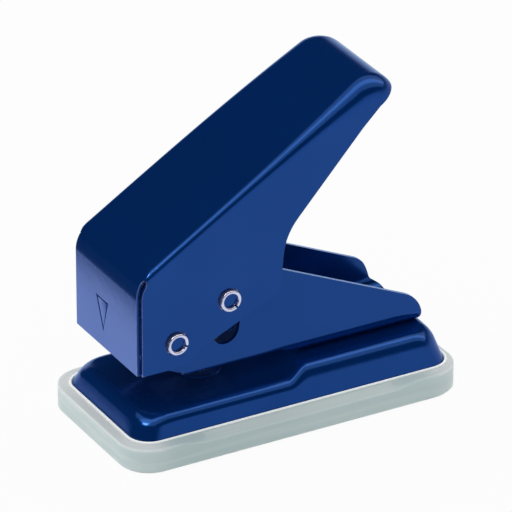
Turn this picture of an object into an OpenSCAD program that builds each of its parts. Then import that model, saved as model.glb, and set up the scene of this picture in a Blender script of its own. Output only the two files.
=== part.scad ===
// Single-hole desk punch of pressed and painted sheet steel, standing on a plastic chip tray.
// Millimetres. X runs along the length with the paper mouth at -X, Z is up,
// and the origin is the middle of the tray's underside.

/* [Tray] */
// Length of the chip tray
tray_l = 105; // [95:0.5:120]
// Width of the chip tray
tray_w = 52.7; // [50:0.1:64]
// Height of the tray's rim
tray_h = 7.5; // [6:0.1:9]
// Corner radius of the tray in plan
tray_corner_r = 9.5; // [6:0.5:12]
// Thickness of the tray's outer wall
tray_wall = 1.6; // [1:0.1:2.5]
// Thickness of the tray's floor
tray_floor = 1.4; // [1:0.1:2]
// Thickness of the ledge round the pan
ledge_t = 1.6; // [1:0.1:2.5]
// Height of the bevel on the rim between the corner pads
rim_bevel = 1.5; // [0.5:0.1:2]
// Length of the flat corner pads, from the end of the tray
pad_l = 16; // [12:0.5:30]
// Height of the lip that stands up round the pan
lip_h = 0.7; // [0.4:0.1:1.2]
// Thickness of that lip
lip_t = 0.7; // [0.5:0.1:1]

/* [Base pan] */
// Length of the pan at its foot
pan_l = 98.6; // [94:0.2:100]
// Width of the pan at its foot
pan_w = 44.4; // [42:0.2:46]
// How far the pan sits behind the middle of the tray
pan_back = 0.7; // [0:0.1:1]
// Corner radius of the pan at its foot
pan_corner_r = 6; // [5:0.5:9]
// Corner radius of the pan's top
top_corner_r = 6.5; // [5:0.5:9]
// How far the rear end of the top bows out
rear_bow = 1; // [0:0.1:1.4]
// Sheet thickness of the pan
pan_sheet = 1; // [0.8:0.1:1.4]
// Height of the pan's low front above the table
front_z = 14; // [13:0.1:15]
// Rise from the low front to the rear platform
platform_rise = 2.9; // [2.5:0.1:4]
// Foot of the step between them
step_x = -1.5; // [-4:0.5:0]
// Length of the step
step_run = 8; // [6:0.5:10]
// Radius of the shoulder round the pan's top
shoulder_r = 3.6; // [3:0.1:4.5]
// How far the sides lean in for each millimetre of height
side_lean = 0.33; // [0.2:0.01:0.4]
// Height above the table where the sides begin to lean
skirt_z = 8; // [7:0.1:9]

/* [Bracket] */
// Outside width of the bracket
bracket_w = 25.2; // [24:0.2:28]
// Sheet thickness of the bracket
bracket_sheet = 1.2; // [1:0.1:1.5]
// Outside radius of the bend along the bracket's floor
bracket_bend_r = 4.4; // [3:0.1:5]
// Rear end of the bracket
bracket_rear_x = 46; // [42:0.5:46]
// Front end of the bracket's floor
bracket_floor_x = 8.5; // [7.5:0.5:9]
// How far the walls' lower edge turns in below the start of the bend, in front of the floor
edge_drop = 1.1; // [0.5:0.1:1.5]
// Length of the slanted cut from that edge down to the floor
notch_run = 8; // [6:0.5:10]
// Clear width of the slot that the drive pin moves in
slot_w = 8.5; // [7.5:0.1:9]
// Angle below the fulcrum's level where the slot ends
slot_end_angle = 11; // [5:1:13]
// Angle of spare slot above the drive pin at rest
slot_spare = 1.5; // [1:0.1:3]
// Diameter of the rivets through the bracket's floor
rivet_d = 3.2; // [2.5:0.1:4]
// Height of the rivets' heads
rivet_head = 1; // [0.8:0.1:1.2]
// Front pair of rivets along the length
rivet_front_x = 13; // [12:0.5:16]
// Rear pair of rivets along the length
rivet_rear_x = 33; // [28:0.5:36]
// Distance between the rivets of a pair
rivet_spread = 11; // [9:0.5:11]
// How far the walls reach in front of the fulcrum
cheek_reach = 8.2; // [7:0.1:9]
// Half the height of the walls' front edge
cheek_half = 7; // [6.5:0.1:8]
// Radius of the walls' lower front corner
cheek_lower_r = 5; // [4:0.5:5.5]
// Radius of the walls' upper front corner
cheek_upper_r = 7; // [5:0.5:8]
// Metal over the upper end of the drive slot
crown_h = 5.5; // [4.5:0.1:6]
// Radius of the two corners of the crown
crown_r = 8; // [6:0.5:9]
// Fall of the walls' top towards the rear, in degrees
tail_fall = 24.3; // [22:0.1:25]
// Height of the walls' top over the drive pin at the origin
tail_rise = 2; // [1.5:0.1:3]
// Radius of the walls' upper rear corner
tail_r = 9; // [6:0.5:10]

/* [Lever] */
// Outside width of the lever
lever_w = 37.6; // [36:0.2:40]
// Sheet thickness of the lever
lever_sheet = 1; // [0.8:0.1:1.4]
// Front face of the lever
lever_front_x = -47; // [-49:0.5:-46.5]
// Lower edge of the lever's front
lever_bottom_z = 26.7; // [25:0.1:28]
// Slope of the lever's top at rest, in degrees
lever_slope = 31.7; // [29:0.1:33]
// Height of the lever's top plane above the origin
lever_top_z = 84.1; // [82:0.1:86]
// Radius of the bend between the front face and the top
lever_bend_r = 9.5; // [6:0.5:12]
// Radius of the rolled nose
nose_r = 9; // [7:0.5:10]
// Middle of the nose's roll along the length
nose_x = 26.8; // [25:0.1:28]
// Radius along the lever's long edges
lever_edge_r = 2.4; // [1.6:0.1:3]
// Radius of the nose's two outer corners
nose_edge_r = 4.5; // [3:0.1:6]
// Width of the open slit at the front corners
slit_w = 1.2; // [0.8:0.1:2]
// Height of the top of that slit
slit_top_z = 54; // [45:0.5:56]
// Where the lower edge turns up, behind the fulcrum
heel_x = 4; // [3.5:0.1:4.5]
// Length of that turn
heel_run = 3; // [2.5:0.1:3.5]
// Rise of the lower edge over that turn
heel_rise = 3.9; // [3.5:0.1:4.5]
// Lower rear corner of the sides, behind the drive pin
hip_back = 16; // [15:0.1:17]
// Rise of the lower edge from the heel to that corner
hip_rise = 11.6; // [11:0.1:12.5]
// Height of the upright rear edge above that corner
back_rise = 16.6; // [15:0.1:18]
// Lean of that rear edge over its height
back_run = 1.4; // [1:0.1:2]
// Where the rear edge meets the nose, in front of its middle
lip_back = 4; // [3:0.1:5]
// How far that point lies below the nose's middle
lip_drop = 4.4; // [4:0.1:5]
// Height of the nose's cut edge above its middle
lip_rise = 6.5; // [6:0.1:7]

/* [Pins] */
// Fulcrum along the length
fulcrum_x = -35.2; // [-36:0.1:-34]
// Fulcrum height
fulcrum_z = 34.4; // [33:0.1:36]
// Distance from the fulcrum to the drive pin
drive_arm = 18.8; // [18:0.1:20]
// Angle of the drive pin above the fulcrum's level at rest
drive_angle = 29.3; // [28:0.1:32]
// Diameter of the slotted spring pins
pin_d = 6.4; // [5.5:0.1:7]
// Wall thickness of the spring pins
pin_wall = 1.2; // [0.8:0.1:1.5]
// Width of the pins' slit
pin_slit_w = 1; // [0.6:0.1:1.4]
// Turn of the fulcrum pin's slit below the level
fulcrum_slit = 20; // [0:5:90]
// Turn of the drive pin's slit below the level
drive_slit = 50; // [0:5:90]
// How far the pins stand proud of the lever
pin_proud = 1.2; // [0.5:0.1:2]
// Outside diameter of the spacer sleeves on the pins
spacer_d = 10; // [9:0.1:11]

/* [Punch] */
// Diameter of the punched hole
hole_d = 6; // [5:0.1:7]
// Turn of the lever from rest to its stop, in degrees
press_angle = 30; // [20:1:30]
// How deep the punch enters the die at the stop
die_entry = 2; // [1:0.1:3]
// Diameter of the punch's head
head_d = 11; // [10:0.1:13]
// Thickness of the punch's head
head_t = 2; // [1.5:0.1:3]
// Diameter of the washer under the head
washer_d = 14; // [13.5:0.1:16]
// Thickness of that washer
washer_t = 0.8; // [0.5:0.1:1.2]
// Diameter of the die's flange
die_d = 13.6; // [13:0.1:15]
// Diameter of the die's spigot through the pan
die_spigot_d = 10.6; // [9.5:0.1:11.5]
// How far the die stands above the pan
die_proud = 0.3; // [0.2:0.1:0.6]
// How far the die reaches below the pan's top
die_depth = 3.2; // [3:0.1:4]
// Straight land of the die's bore below its edge
die_land = 2.8; // [2.6:0.1:3]
// Extra radius of the bore below that land
die_relief = 0.5; // [0.3:0.1:0.8]
// Clear height of the paper throat over the die
throat_h = 5; // [4.3:0.1:5.2]
// Diameter of the guide bush's flange
bush_flange_d = 13; // [12:0.1:15]
// Thickness of the guide bush's flange
bush_flange_t = 2; // [1.2:0.1:2.2]
// Outside diameter of the guide bush
bush_d = 9; // [8.5:0.1:9.4]
// Length of the guide bush
bush_l = 8.2; // [7.5:0.1:8.4]
// Sheet thickness of the guide saddle
saddle_sheet = 1.5; // [1:0.1:2]
// Length of the guide saddle
saddle_l = 20; // [18:0.5:24]
// Height of the saddle's ears
saddle_h = 10; // [8:0.5:12]
// Outside radius of the saddle's two bends
saddle_bend_r = 2.4; // [2.2:0.1:3]

/* [Return spring] */
// Wire of the return spring
wire_d = 0.9; // [0.7:0.1:1]
// Mean diameter of the return spring
coil_d = 11.4; // [11:0.1:12]
// Curls of the return spring
coil_turns = 5; // [4:1:5]

/* [Fits] */
// Gap round a running pin or punch
running_gap = 0.06; // [0.02:0.01:0.1]
// Gap round a tight pin or spigot
tight_gap = 0.02; // [0.01:0.01:0.03]
// Gap between the pan and the tray's ledge
pan_gap = 0.3; // [0.2:0.05:0.6]
// Gap between a spacer sleeve and the sheets beside it
spacer_gap = 0.15; // [0.1:0.05:0.3]
// Gap between the drive pin and the punch's head at rest
head_gap = 0.08; // [0.05:0.01:0.15]
// Gap between the spring's ends and their seats
spring_gap = 0.06; // [0.05:0.01:0.1]

/* [Hidden] */

round_fn = 64;
hull_fn = 32;
corner_steps = 8;
past = 1;

paint = "#16357f";
plastic = "#c3cfcd";
bright_steel = "#d5d7de";
dark_steel = "#8d9096";

// Heights of the pan
rear_z = front_z + platform_rise;
platform_x = step_x + step_run;

// Bracket levels: the floor lies on the platform, the walls begin above the bend
floor_z = rear_z + bracket_sheet;
wall_z = rear_z + bracket_bend_r;
wall_in = bracket_w / 2 - bracket_sheet;

// The drive pin at rest and the punch straight below it
drive_x = fulcrum_x + drive_arm * cos(drive_angle);
drive_z = fulcrum_z + drive_arm * sin(drive_angle);
stroke = drive_arm * (sin(drive_angle) - sin(drive_angle - press_angle));
pin_r = pin_d / 2;
pin_l = lever_w + 2 * pin_proud;

// Stack along the punch's axis, from the die upwards
die_top_z = front_z + die_proud;
bush_z = die_top_z + throat_h;
saddle_z = bush_z + bush_flange_t;
seat_z = saddle_z + saddle_sheet;
head_top_z = drive_z - pin_r - head_gap;
washer_z = head_top_z - head_t - washer_t;
tip_z = die_top_z - die_entry + stroke;
punch_r = hole_d / 2;

// Spacer sleeves fill the space between the lever's sides and the bracket's walls
spacer_l = lever_w / 2 - lever_sheet - bracket_w / 2 - 2 * spacer_gap;

// Centres of the lever's two bends, both tangent to the sloping top
function under_top(x, r) = lever_top_z + x * tan(lever_slope) - r / cos(lever_slope);
bend_x = lever_front_x + lever_bend_r;
bend_z = under_top(bend_x, lever_bend_r);
nose_z = under_top(nose_x, nose_r);

echo(stroke = stroke, ratio_mm_per_rad = stroke / (press_angle * PI / 180));
echo(drive_x = drive_x, drive_z = drive_z, tip_z = tip_z, washer_z = washer_z);

// A corner of an outline turned into an arc: a and c are its neighbours, b holds x, y and radius
function corner_arc(a, b, c) =
    let (
        u = ([a.x, a.y] - [b.x, b.y]) / norm([a.x, a.y] - [b.x, b.y]),
        v = ([c.x, c.y] - [b.x, b.y]) / norm([c.x, c.y] - [b.x, b.y]),
        half = acos(u * v) / 2,
        reach = b.z / tan(half),
        mid = [b.x, b.y] + (u + v) / norm(u + v) * b.z / sin(half),
        from = [b.x, b.y] + u * reach - mid,
        to = [b.x, b.y] + v * reach - mid,
        side = sign(from.x * to.y - from.y * to.x),
        sweep = 180 - 2 * half
    )
    [for (i = [0:corner_steps])
        let (t = side * sweep * i / corner_steps)
        mid + [from.x * cos(t) - from.y * sin(t), from.x * sin(t) + from.y * cos(t)]];

// Outline through points that each hold x, y and a corner radius
function soft_outline(p) =
    [for (i = [0:len(p) - 1])
        let (arc = p[i].z > 0
            ? corner_arc(p[(i + len(p) - 1) % len(p)], p[i], p[(i + 1) % len(p)])
            : [[p[i].x, p[i].y]])
        each arc];

// A flat plate seen from the side, from y0 to y1
module side_plate(y0, y1) {
    translate([0, y1, 0])
        rotate([90, 0, 0])
            linear_extrude(y1 - y0)
                children();
}

// A cylinder along Y through x, z
module cross_cylinder(x, z, r, y0, y1) {
    translate([x, y1, z])
        rotate([90, 0, 0])
            cylinder(r = r, h = y1 - y0, $fn = round_fn);
}

module rounded_plan(l, w, r) {
    square([l - 2 * r, w], center = true);
    square([l, w - 2 * r], center = true);
    for (sx = [-1, 1], sy = [-1, 1])
        translate([sx * (l / 2 - r), sy * (w / 2 - r)])
            circle(r = r, $fn = round_fn);
}

module ring(r_out, r_in, h) {
    difference() {
        cylinder(r = r_out, h = h, $fn = round_fn);
        translate([0, 0, -past])
            cylinder(r = r_in, h = h + 2 * past, $fn = round_fn);
    }
}

// Tray

// The bevel along one long side, between the corner pads
module rim_bevel_cut() {
    run = tray_l - 2 * pad_l;
    bevel_w = 2 * rim_bevel;
    translate([-run / 2, tray_w / 2, tray_h])
        rotate([90, 0, 90])
            linear_extrude(run)
                polygon([
                    [past, past],
                    [-bevel_w, past],
                    [-bevel_w, 0],
                    [0, -rim_bevel],
                    [past, -rim_bevel]
                ]);
}

module tray_block() {
    difference() {
        linear_extrude(tray_h)
            rounded_plan(tray_l, tray_w, tray_corner_r);
        rim_bevel_cut();
        mirror([0, 1, 0])
            rim_bevel_cut();
    }
}

// Plan of the mouth that the pan stands in, grown by more all round
module mouth_plan(more) {
    grow = pan_gap + more;
    translate([pan_back, 0])
        rounded_plan(pan_l + 2 * grow, pan_w + 2 * grow, pan_corner_r + grow);
}

module chip_tray() {
    color(plastic)
        difference() {
            union() {
                tray_block();
                linear_extrude(tray_h + lip_h)
                    mouth_plan(lip_t);
            }
            translate([0, 0, tray_floor])
                linear_extrude(tray_h - tray_floor - ledge_t)
                    rounded_plan(tray_l - 2 * tray_wall, tray_w - 2 * tray_wall, tray_corner_r - tray_wall);
            translate([0, 0, tray_floor])
                linear_extrude(tray_h)
                    mouth_plan(0);
        }
}

// Base pan

// A round corner post with a soft upper edge
module soft_post(r, z0, z1, edge) {
    translate([0, 0, z0])
        rotate_extrude($fn = hull_fn) {
            square([r, z1 - z0 - edge]);
            square([r - edge, z1 - z0]);
            translate([r - edge, z1 - z0 - edge])
                intersection() {
                    circle(r = edge, $fn = hull_fn);
                    square(edge);
                }
        }
}

// Posts at the corners and the bowed rear of the pan's top, from x0 or the front end to the rear
module top_posts(top, inset, x0 = undef) {
    lean = side_lean * (top - shoulder_r - skirt_z);
    r = top_corner_r - inset;
    half_l = pan_l / 2 - lean - inset;
    side = pan_w / 2 - lean - inset - r;
    front = is_undef(x0) ? -half_l : x0;
    for (p = [[front, -side], [front, side], [half_l - 2 * r, -side], [half_l - 2 * r, side],
              [half_l - 2 * r + rear_bow, 0]])
        translate([p.x + r, p.y, 0])
            soft_post(r, top - shoulder_r - inset, top - inset, shoulder_r - inset);
}

module foot_plan(inset) {
    rounded_plan(pan_l - 2 * inset, pan_w - 2 * inset, pan_corner_r - inset);
}

// The pan's form about its own middle, drawn in by inset all round
module pan_form(inset, foot) {
    toe_w = pan_w - 4 * shoulder_r;
    slab = 1;
    hull() {
        translate([0, 0, foot])
            linear_extrude(skirt_z - foot)
                foot_plan(inset);
        top_posts(front_z, inset);
    }
    hull() {
        top_posts(rear_z, inset, platform_x - pan_back - shoulder_r / 2 + inset);
        translate([step_x - pan_back + inset, -toe_w / 2, front_z - slab - inset])
            cube([slab, toe_w, slab]);
        translate([0, 0, skirt_z - slab])
            linear_extrude(slab)
                intersection() {
                    foot_plan(inset);
                    translate([platform_x, -pan_w])
                        square([pan_l, 2 * pan_w]);
                }
    }
}

module base_pan() {
    color(paint)
        difference() {
            translate([pan_back, 0, 0])
                difference() {
                    pan_form(0, tray_floor);
                    pan_form(pan_sheet, 0);
                }
            translate([drive_x, 0, 0])
                cylinder(d = die_spigot_d + 2 * tight_gap, h = rear_z + past, $fn = round_fn);
            rivet_places()
                cylinder(d = rivet_d + 2 * tight_gap, h = rear_z + past, $fn = round_fn);
        }
}

module die_button() {
    foot_z = front_z - die_depth;
    land_z = die_top_z - die_land;
    bore_r = punch_r + running_gap;
    color(bright_steel)
        translate([drive_x, 0, 0])
            difference() {
                union() {
                    translate([0, 0, front_z])
                        cylinder(d = die_d, h = die_proud, $fn = round_fn);
                    translate([0, 0, foot_z])
                        cylinder(d = die_spigot_d, h = die_depth, $fn = round_fn);
                }
                translate([0, 0, foot_z])
                    cylinder(r = bore_r, h = die_depth + die_proud + past, $fn = round_fn);
                translate([0, 0, foot_z - past])
                    cylinder(r = bore_r + die_relief, h = land_z - foot_z + past, $fn = round_fn);
            }
}

// Bracket

// Side view of the bracket, from the mouth's lead-in round the pins to the rear end
module bracket_outline() {
    front_x = fulcrum_x - cheek_reach;
    crown_x = drive_x + slot_w;
    below = rear_z - past;
    edge_z = wall_z - edge_drop;
    function tail_z(x) = drive_z + tail_rise - x * tan(tail_fall);
    polygon(soft_outline([
        [fulcrum_x + heel_x, edge_z, cheek_lower_r],
        [front_x, fulcrum_z - cheek_half, cheek_lower_r],
        [front_x, fulcrum_z + cheek_half, cheek_upper_r],
        [drive_x - slot_w / 2, drive_z + slot_w / 2 + crown_h, crown_r],
        [crown_x, tail_z(crown_x), crown_r],
        [bracket_rear_x, tail_z(bracket_rear_x), tail_r],
        [bracket_rear_x, below, 0],
        [bracket_floor_x, below, 0],
        [bracket_floor_x, floor_z, 0],
        [bracket_floor_x - notch_run, edge_z, 0]
    ]));
}

// The arc-shaped slot for the drive pin, about the fulcrum
module drive_slot() {
    slot_r = slot_w / 2;
    top_angle = drive_angle + slot_spare;
    translate([fulcrum_x, fulcrum_z]) {
        intersection() {
            difference() {
                circle(r = drive_arm + slot_r, $fn = 2 * round_fn);
                circle(r = drive_arm - slot_r, $fn = 2 * round_fn);
            }
            polygon([
                [0, 0],
                2 * drive_arm * [cos(slot_end_angle), -sin(slot_end_angle)],
                2 * drive_arm * [1, 0],
                2 * drive_arm * [cos(top_angle), sin(top_angle)]
            ]);
        }
        for (a = [-slot_end_angle, top_angle])
            translate(drive_arm * [cos(a), sin(a)])
                circle(r = slot_r, $fn = round_fn);
    }
}

// Cross-section of the bent sheet: floor, two bends and two walls
module channel_section() {
    half = bracket_w / 2;
    flat = half - bracket_bend_r;
    translate([-flat, rear_z])
        square([2 * flat, bracket_sheet]);
    for (s = [-1, 1]) {
        translate([s * flat, wall_z])
            intersection() {
                difference() {
                    circle(r = bracket_bend_r, $fn = round_fn);
                    circle(r = bracket_bend_r - bracket_sheet, $fn = round_fn);
                }
                translate([s > 0 ? 0 : -bracket_bend_r, -bracket_bend_r])
                    square(bracket_bend_r);
            }
        translate([s > 0 ? wall_in : -half, wall_z])
            square([bracket_sheet, lever_top_z - wall_z]);
    }
}

module rivet_places() {
    for (x = [rivet_front_x, rivet_rear_x], s = [-1, 1])
        translate([x, s * rivet_spread / 2, 0])
            children();
}

module bracket() {
    color(paint)
        difference() {
            intersection() {
                translate([2 * fulcrum_x, 0, 0])
                    rotate([90, 0, 90])
                        linear_extrude(2 * (bracket_rear_x - fulcrum_x))
                            channel_section();
                side_plate(-bracket_w, bracket_w)
                    bracket_outline();
            }
            cross_cylinder(fulcrum_x, fulcrum_z, pin_r + running_gap, -lever_w, lever_w);
            side_plate(-lever_w, lever_w)
                drive_slot();
            rivet_places()
                cylinder(d = rivet_d + 2 * tight_gap, h = drive_z, $fn = round_fn);
        }
}

module bracket_rivets() {
    head_d1 = 1.8 * rivet_d;
    color(dark_steel)
        rivet_places() {
            translate([0, 0, rear_z - pan_sheet])
                cylinder(d = rivet_d, h = pan_sheet + bracket_sheet, $fn = round_fn);
            translate([0, 0, floor_z])
                cylinder(d1 = head_d1, d2 = rivet_d, h = rivet_head, $fn = round_fn);
            translate([0, 0, rear_z - pan_sheet - rivet_head])
                cylinder(d1 = rivet_d, d2 = head_d1, h = rivet_head, $fn = round_fn);
        }
}

// Punch and its guide

// A plate with round lower corners, drawn in by inset at the sides and below
module saddle_form(inset, top) {
    half = wall_in - inset;
    r = saddle_bend_r - inset;
    hull() {
        for (s = [-1, 1])
            translate([s * (half - r), inset + r])
                circle(r = r, $fn = round_fn);
        translate([-half, saddle_h])
            square([2 * half, top]);
    }
}

module guide_saddle() {
    color(dark_steel)
        difference() {
            translate([drive_x - saddle_l / 2, 0, saddle_z])
                rotate([90, 0, 90])
                    linear_extrude(saddle_l)
                        intersection() {
                            difference() {
                                saddle_form(0, past);
                                saddle_form(saddle_sheet, 2 * past);
                            }
                            translate([-wall_in, 0])
                                square([2 * wall_in, saddle_h]);
                        }
            translate([drive_x, 0, saddle_z - past])
                cylinder(d = bush_d + 2 * tight_gap, h = saddle_sheet + 2 * past, $fn = round_fn);
            side_plate(-lever_w, lever_w)
                drive_slot();
        }
}

module guide_bush() {
    color(bright_steel)
        translate([drive_x, 0, bush_z])
            difference() {
                union() {
                    cylinder(d = bush_flange_d, h = bush_flange_t, $fn = round_fn);
                    cylinder(d = bush_d, h = bush_l, $fn = round_fn);
                }
                translate([0, 0, -past])
                    cylinder(r = punch_r + running_gap, h = bush_l + 2 * past, $fn = round_fn);
            }
}

module punch() {
    hollow_r = 1.4 * punch_r;
    hollow_z = tip_z - 0.7 * hollow_r;
    color(bright_steel)
        difference() {
            translate([drive_x, 0, 0]) {
                translate([0, 0, tip_z])
                    cylinder(r = punch_r, h = head_top_z - tip_z, $fn = round_fn);
                translate([0, 0, head_top_z - head_t])
                    cylinder(d = head_d, h = head_t, $fn = round_fn);
            }
            cross_cylinder(drive_x, hollow_z, hollow_r, -hole_d, hole_d);
        }
}

module spring_washer() {
    color(dark_steel)
        translate([drive_x, 0, washer_z])
            ring(washer_d / 2, punch_r + tight_gap, washer_t);
}

// Return spring: one tube along a helix between the saddle and the washer

coil_rings = 8;
coil_sides = 6;
coil_z0 = seat_z + wire_d / 2 + spring_gap;
coil_z1 = washer_z - wire_d / 2 - spring_gap;
coil_pitch = (coil_z1 - coil_z0) / coil_turns;
coil_lean = atan(coil_pitch / (PI * coil_d));

function coil_point(i) =
    let (t = 360 * i / coil_rings)
    [coil_d / 2 * cos(t), coil_d / 2 * sin(t), coil_z0 + coil_pitch * i / coil_rings];

function coil_ring(i) =
    let (t = 360 * i / coil_rings, out = [cos(t), sin(t), 0],
         across = [sin(t) * sin(coil_lean), -cos(t) * sin(coil_lean), cos(coil_lean)])
    [for (k = [0:coil_sides - 1])
        let (a = 360 * k / coil_sides)
        coil_point(i) + wire_d / 2 * (cos(a) * out + sin(a) * across)];

coil_last = coil_turns * coil_rings;
coil_gap = min([for (i = [0:coil_last], j = [i + coil_rings / 2:1:coil_last])
    norm(coil_point(i) - coil_point(j))]) - wire_d;
echo(spring_least_gap = coil_gap);

module return_spring() {
    points = [for (i = [0:coil_last]) each coil_ring(i)];
    sides = [for (i = [0:coil_last - 1], k = [0:coil_sides - 1])
        let (a = i * coil_sides + k, b = i * coil_sides + (k + 1) % coil_sides)
        each [[a, a + coil_sides, b], [b, a + coil_sides, b + coil_sides]]];
    first = [for (k = [1:coil_sides - 2]) [0, k, k + 1]];
    end = coil_last * coil_sides;
    last = [for (k = [1:coil_sides - 2]) [end, end + k + 1, end + k]];
    color(dark_steel)
        translate([drive_x, 0, 0])
            polyhedron(points = points, faces = concat(sides, first, last));
}

// Lever

// A drum along Y with soft rims
module drum(x, z, r, half, edge) {
    translate([x, half, z])
        rotate([90, 0, 0])
            rotate_extrude($fn = 2 * hull_fn) {
                translate([0, edge])
                    square([r, 2 * (half - edge)]);
                square([r - edge, 2 * half]);
                for (y = [edge, 2 * half - edge])
                    translate([r - edge, y])
                        circle(r = edge, $fn = hull_fn);
            }
}

// The lever's outer form, drawn in by inset, reaching below its lower edges
module lever_form(inset) {
    half = lever_w / 2 - inset;
    edge = lever_edge_r - inset;
    foot_r = 3 * lever_edge_r;
    foot_z = lever_bottom_z - foot_r;
    hull() {
        drum(bend_x, bend_z, lever_bend_r - inset, half, edge);
        drum(nose_x, nose_z, nose_r - inset, half, nose_edge_r - inset);
        drum(lever_front_x + foot_r, foot_z, foot_r - inset, half, edge);
        drum(nose_x - 2 * nose_r, foot_z, foot_r - inset, half, edge);
    }
}

// What the side view keeps of that form: everything above the lower and rear edges
module lever_outline() {
    far = 3 * nose_r + nose_x;
    cut_z = nose_z + lip_rise;
    hip_x = drive_x + hip_back;
    hip_z = lever_bottom_z + heel_rise + hip_rise;
    polygon(soft_outline([
        [2 * lever_front_x, lever_bottom_z, 0],
        [fulcrum_x + heel_x, lever_bottom_z, heel_run / 2],
        [fulcrum_x + heel_x + heel_run, lever_bottom_z + heel_rise, heel_rise],
        [hip_x, hip_z, lever_edge_r],
        [hip_x + back_run, hip_z + back_rise, 2 * nose_r],
        [nose_x - lip_back, nose_z - lip_drop, 2 * nose_r],
        [nose_x + nose_r, cut_z, 0],
        [far, cut_z, 0],
        [far, 2 * lever_top_z, 0],
        [2 * lever_front_x, 2 * lever_top_z, 0]
    ]));
}

module lever_shell() {
    reach = lever_w / 2 - lever_sheet;
    color(paint)
        difference() {
            intersection() {
                difference() {
                    lever_form(0);
                    lever_form(lever_sheet);
                }
                side_plate(-lever_w, lever_w)
                    lever_outline();
            }
            for (s = [-1, 1])
                translate([lever_front_x - past, s * (reach - slit_w / 2) - slit_w / 2, 0])
                    cube([lever_edge_r + 2 * past, slit_w, slit_top_z]);
            for (p = [[fulcrum_x, fulcrum_z], [drive_x, drive_z]])
                cross_cylinder(p.x, p.y, pin_r + tight_gap, -lever_w, lever_w);
        }
}

// A rolled pin with its slit at the given angle
module spring_pin(x, z, slit_angle) {
    color(bright_steel)
        difference() {
            cross_cylinder(x, z, pin_r, -pin_l / 2, pin_l / 2);
            cross_cylinder(x, z, pin_r - pin_wall, -pin_l, pin_l);
            translate([x, 0, z])
                rotate([0, slit_angle, 0])
                    translate([0, -pin_l, -pin_slit_w / 2])
                        cube([pin_d, 2 * pin_l, pin_slit_w]);
        }
}

module fulcrum_pin() {
    spring_pin(fulcrum_x, fulcrum_z, fulcrum_slit);
}

module drive_pin() {
    spring_pin(drive_x, drive_z, drive_slit);
}

// A sleeve between the bracket and the lever, on the side that s names
module spacer(x, z, s) {
    y0 = bracket_w / 2 + spacer_gap;
    color(bright_steel)
        difference() {
            cross_cylinder(x, z, spacer_d / 2, s > 0 ? y0 : -y0 - spacer_l, s > 0 ? y0 + spacer_l : -y0);
            cross_cylinder(x, z, pin_r + tight_gap, -lever_w, lever_w);
        }
}

module fulcrum_spacer_left() {
    spacer(fulcrum_x, fulcrum_z, 1);
}

module fulcrum_spacer_right() {
    spacer(fulcrum_x, fulcrum_z, -1);
}

module drive_spacer_left() {
    spacer(drive_x, drive_z, 1);
}

module drive_spacer_right() {
    spacer(drive_x, drive_z, -1);
}

chip_tray();
base_pan();
die_button();
bracket();
bracket_rivets();
guide_saddle();
guide_bush();
return_spring();
punch();
spring_washer();
lever_shell();
fulcrum_pin();
drive_pin();
fulcrum_spacer_left();
fulcrum_spacer_right();
drive_spacer_left();
drive_spacer_right();
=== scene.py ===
"""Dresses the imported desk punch: smooth pressings, pins, spring and finishes, lit as in a small studio."""
import math

import bmesh
import bpy
from mathutils import Matrix, Vector


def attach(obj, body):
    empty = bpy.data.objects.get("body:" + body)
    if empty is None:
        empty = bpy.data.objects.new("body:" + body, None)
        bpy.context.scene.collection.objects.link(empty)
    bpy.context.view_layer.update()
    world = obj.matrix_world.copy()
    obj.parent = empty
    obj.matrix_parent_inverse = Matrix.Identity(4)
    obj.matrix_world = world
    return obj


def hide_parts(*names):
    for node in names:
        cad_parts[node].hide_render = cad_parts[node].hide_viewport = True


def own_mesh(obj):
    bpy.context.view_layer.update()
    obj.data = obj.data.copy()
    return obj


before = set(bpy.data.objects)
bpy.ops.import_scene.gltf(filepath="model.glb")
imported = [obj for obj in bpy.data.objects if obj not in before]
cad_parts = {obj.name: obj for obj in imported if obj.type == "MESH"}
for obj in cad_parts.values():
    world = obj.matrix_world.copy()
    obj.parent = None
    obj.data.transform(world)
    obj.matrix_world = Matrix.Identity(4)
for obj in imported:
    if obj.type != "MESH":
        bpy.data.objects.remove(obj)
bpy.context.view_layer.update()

MM = 0.001
ALONG = Vector((1, 0, 0))
ACROSS = Vector((0, 1, 0))
UP = Vector((0, 0, 1))

# Sizes in millimetres, nearly all those of the solids
TRAY_HALF_L, TRAY_HALF_W, TRAY_H, TRAY_FOOT = 52.5, 26.35, 7.5, 0.8
TRAY_R, TRAY_WALL, TRAY_FLOOR, LEDGE_T = 9.5, 1.6, 1.4, 1.6
RIM_BEVEL, RIM_TAPER, RIM_START, PAD_L = 1.5, 7.0, 0.3, 16.0
LIP_H, LIP_T = 0.7, 0.7
PAN_HALF_L, PAN_HALF_W, PAN_BACK, PAN_R = 49.3, 22.2, 0.7, 6.0
PAN_TOP_R, PAN_SHEET, PAN_GAP, REAR_BOW = 6.5, 1.0, 0.3, 1.0
FRONT_Z, PLATFORM_RISE, STEP_X, STEP_RUN = 14.0, 2.9, -0.8, 6.6
SHOULDER_R, SIDE_LEAN, SKIRT_Z = 3.6, 0.33, 8.0
DRAPE, DRAPE_RUN, DRAPE_X, DRAPE_Y = 1.3, 9.0, 38.5, 12.0
BRACKET_HALF_W, BRACKET_SHEET, BEND_R = 12.6, 1.2, 4.4
BRACKET_REAR, BRACKET_FLOOR_X, SLOT_W, SLOT_END, SLOT_SPARE = 46.0, 9.0, 8.5, 11.0, 1.5
EDGE_DROP, NOTCH_RUN, FAR_TRIM, FAR_TRIM_X = 1.1, 8.0, 3.0, 24.0
CHEEK_REACH, CHEEK_HALF, CHEEK_LOWER_R, CHEEK_UPPER_R = 8.2, 7.0, 5.0, 7.0
CROWN_H, CROWN_R, TAIL_FALL, TAIL_RISE, TAIL_R = 5.5, 8.0, 24.3, 2.0, 9.0
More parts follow.
